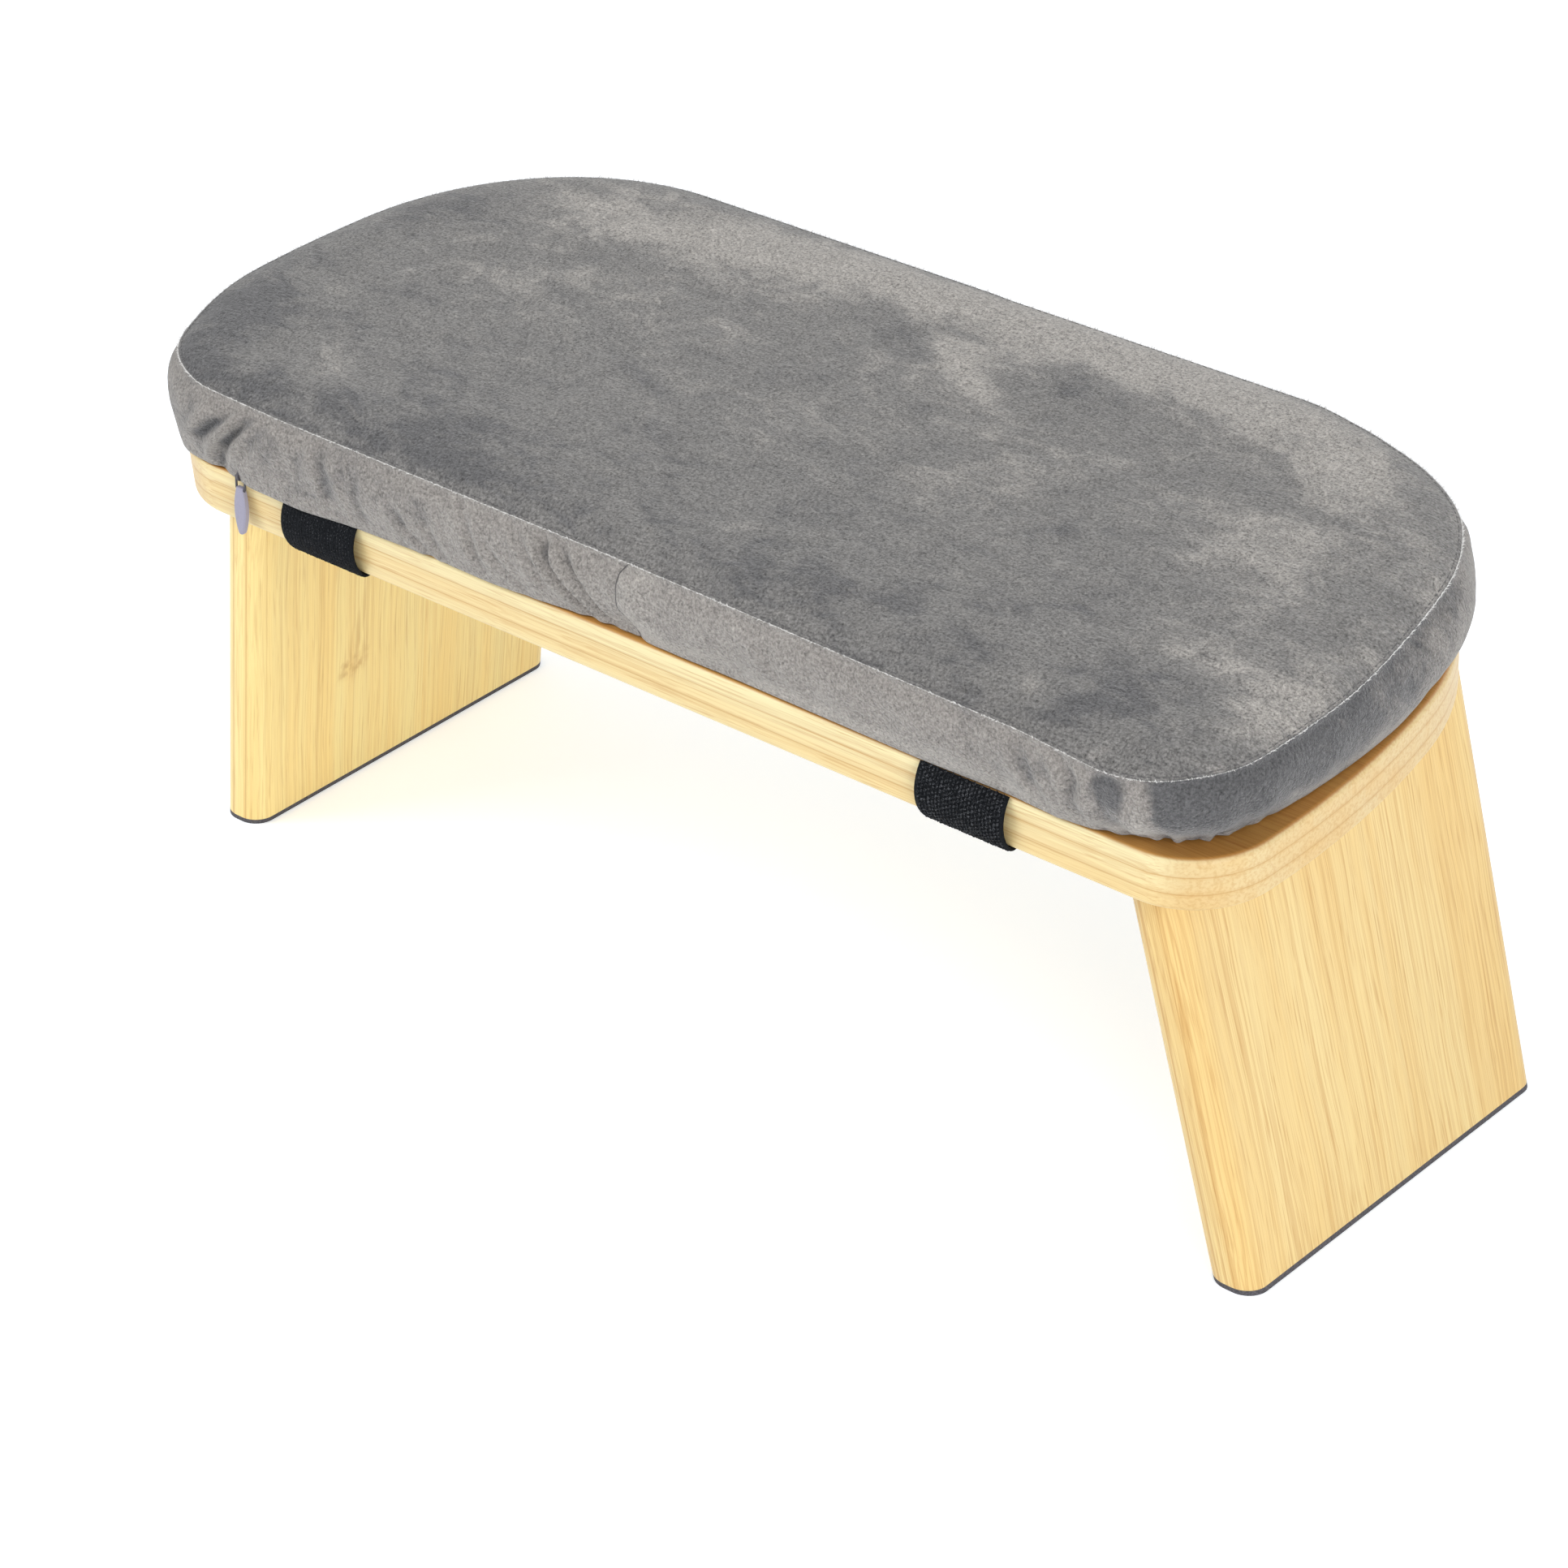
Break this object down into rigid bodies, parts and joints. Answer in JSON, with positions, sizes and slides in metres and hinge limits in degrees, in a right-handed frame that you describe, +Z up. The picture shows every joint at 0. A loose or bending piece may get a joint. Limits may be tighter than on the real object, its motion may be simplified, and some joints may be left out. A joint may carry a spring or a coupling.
{
  "type": "folding meditation bench",
  "caption": "Low kneeling bench with a forward-tilted bamboo seat, a padded plush cushion held by elastic straps, and splayed panel legs on butt hinges that fold flat under the seat.",
  "frame": {"origin": "centre of the bounding box, on the floor that the feet stand on, with the legs open", "axes": "+X along the seat to the sitter's left as seen from the front, to the right in the picture; -Y is the front, where the seat is lower; +Z up"},
  "size_m": [0.4844, 0.2144, 0.2318],
  "materials": {
    "bamboo": "satin lacquer",
    "foot_pad": "matt",
    "hinge_steel": "satin",
    "screw_steel": "satin",
    "pin_steel": "satin",
    "foam": "open-cell foam",
    "top_fabric": "short-pile plush",
    "side_fabric": "short-pile plush",
    "base_fabric": "woven, anti-slip",
    "elastic": "woven ribs",
    "zipper_tape": "woven, coil teeth",
    "zipper_metal": "satin",
    "pull_plastic": "matt"
  },
  "bodies": {
    "seat": {"seat_board": "bamboo", "cushion_foam": "foam", "cushion_side_band": "side_fabric", "cushion_top_panel": "top_fabric", "cushion_bottom_panel": "base_fabric", "left_elastic_strap": "elastic", "right_elastic_strap": "elastic", "zipper_chain": "zipper_tape", "zipper_slider": "zipper_metal", "right_front_hinge_seat_leaf": "hinge_steel", "right_front_hinge_seat_screws": "screw_steel", "right_front_hinge_pin": "pin_steel", "right_back_hinge_seat_leaf": "hinge_steel", "right_back_hinge_seat_screws": "screw_steel", "right_back_hinge_pin": "pin_steel", "left_front_hinge_seat_leaf": "hinge_steel", "left_front_hinge_seat_screws": "screw_steel", "left_front_hinge_pin": "pin_steel", "left_back_hinge_seat_leaf": "hinge_steel", "left_back_hinge_seat_screws": "screw_steel", "left_back_hinge_pin": "pin_steel"},
    "right_leg": {"right_leg_panel": "bamboo", "right_foot_pad": "foot_pad", "right_front_hinge_leg_leaf": "hinge_steel", "right_front_hinge_leg_screws": "screw_steel", "right_back_hinge_leg_leaf": "hinge_steel", "right_back_hinge_leg_screws": "screw_steel"},
    "left_leg": {"left_leg_panel": "bamboo", "left_foot_pad": "foot_pad", "left_front_hinge_leg_leaf": "hinge_steel", "left_front_hinge_leg_screws": "screw_steel", "left_back_hinge_leg_leaf": "hinge_steel", "left_back_hinge_leg_screws": "screw_steel"},
    "zipper_pull": {"zipper_pull_bail": "zipper_metal", "zipper_pull_tab": "pull_plastic"}
  },
  "joints": [
    {"name": "right_leg_fold", "type": "hinge", "parent": "seat", "child": "right_leg", "pos_m": [0.18639, -0.00595, 0.16209], "axis": [0, 0.9903, 0.1392], "range_deg": [0, 101.3]},
    {"name": "left_leg_fold", "type": "hinge", "parent": "seat", "child": "left_leg", "pos_m": [-0.18639, -0.00595, 0.16209], "axis": [0, -0.9903, -0.1392], "range_deg": [0, 101.3]},
    {"name": "zipper_pull_swing", "type": "hinge", "parent": "seat", "child": "zipper_pull", "pos_m": [-0.184, -0.10186, 0.1727], "axis": [-1, 0, 0], "range_deg": [-5, 120]}
  ]
}
